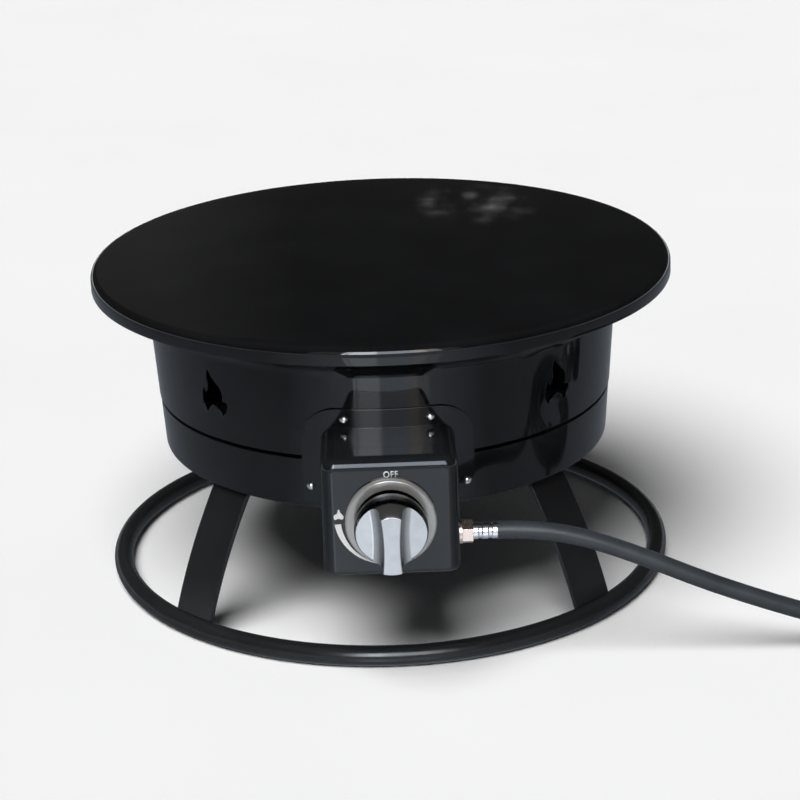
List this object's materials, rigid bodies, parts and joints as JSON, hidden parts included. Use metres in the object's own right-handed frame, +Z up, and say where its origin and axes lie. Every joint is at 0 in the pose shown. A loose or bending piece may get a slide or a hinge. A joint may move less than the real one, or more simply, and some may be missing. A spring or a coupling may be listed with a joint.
{
  "type": "portable propane fire pit",
  "caption": "Round black steel gas fire bowl on a ring base, with a lift-off lid, a front control box with a push-and-turn knob, and a coiled hose with a regulator.",
  "frame": {"origin": "on the bowl's axis, at the floor under the base ring", "axes": "+Z up along the bowl's axis; the control box and knob face -Y; the hose leaves towards +X"},
  "size_m": [0.8289, 0.5369, 0.2729],
  "materials": {
    "black_enamel": "gloss black enamel on pressed steel",
    "zinc_steel": "zinc-plated steel",
    "bright_screw": "bright plated screw",
    "chrome": "chrome plate, slightly satin on the knob",
    "black_plastic": "moulded black plastic",
    "brass": "machined brass, pinkish",
    "crimp_steel": "bright crimped steel",
    "stainless": "stainless tube",
    "lava_rock": "porous dark red-brown lava rock",
    "hose_rubber": "satin dark grey rubber",
    "seal_rubber": "black nitrile",
    "tie_web": "black hook-and-loop strap",
    "die_cast": "grey die casting"
  },
  "bodies": {
    "root": {"upper_wall": "black_enamel", "lower_bowl": "black_enamel", "base_ring": "black_enamel", "leg_front_left": "black_enamel", "leg_front_right": "black_enamel", "leg_rear_left": "black_enamel", "leg_rear_right": "black_enamel", "control_box": "black_enamel", "leg_bolts": "zinc_steel", "leg_nuts": "zinc_steel", "burner_brackets": "zinc_steel", "burner_screws": "zinc_steel", "burner_nuts": "zinc_steel", "inlet_locknut": "zinc_steel", "bonnet_screws": "zinc_steel", "valve_screws": "zinc_steel", "return_spring": "zinc_steel", "regulator_screws": "zinc_steel", "panel_screws": "bright_screw", "control_bezel": "chrome", "vent_cap": "black_plastic", "inlet_fitting": "brass", "gas_jet": "brass", "tank_nipple": "brass", "inlet_elbow": "brass", "hose_ferrule": "crimp_steel", "end_ferrule": "crimp_steel", "burner_ring": "stainless", "mixing_tube": "stainless", "air_shutter": "stainless", "lava_rocks": "lava_rock", "hose_lead": "hose_rubber", "hose_coil": "hose_rubber", "nipple_seal": "seal_rubber", "hose_tie": "tie_web", "valve_body": "die_cast", "valve_bonnet": "die_cast", "regulator_body": "die_cast", "regulator_cover": "die_cast"},
    "lid": {"lid": "black_enamel"},
    "plunger": {"thrust_washer": "zinc_steel"},
    "knob": {"knob_shell": "chrome", "knob_hub": "black_plastic", "knob_clip": "zinc_steel", "valve_stem": "zinc_steel"},
    "plug": {"valve_plug": "brass"},
    "nut": {"tank_nut": "black_plastic"}
  },
  "joints": [
    {"name": "lid_lift", "type": "slide", "parent": "root", "child": "lid", "axis": [0, 0, 1], "range_m": [0, 0.25]},
    {"name": "knob_push", "type": "slide", "parent": "root", "child": "plunger", "axis": [0, 1, 0], "range_m": [0, 0.004], "stiffness_N_per_m": 1500, "springref_m": -0.002, "deforming": ["return_spring"]},
    {"name": "knob_turn", "type": "hinge", "parent": "plunger", "child": "knob", "pos_m": [0, -0.263, 0.134], "axis": [0, -1, 0], "range_deg": [0, 180]},
    {"name": "plug_turn", "type": "hinge", "parent": "root", "child": "plug", "pos_m": [0, -0.2254, 0.134], "axis": [0, -1, 0], "range_deg": [0, 180]},
    {"name": "tank_nut_turn", "type": "hinge", "parent": "root", "child": "nut", "pos_m": [0.5527, 0.0293, 0.0235], "axis": [0, 1, 0], "continuous": true}
  ],
  "couplings": [
    {"joint": "plug_turn", "follows": "knob_turn", "ratio": 1}
  ]
}
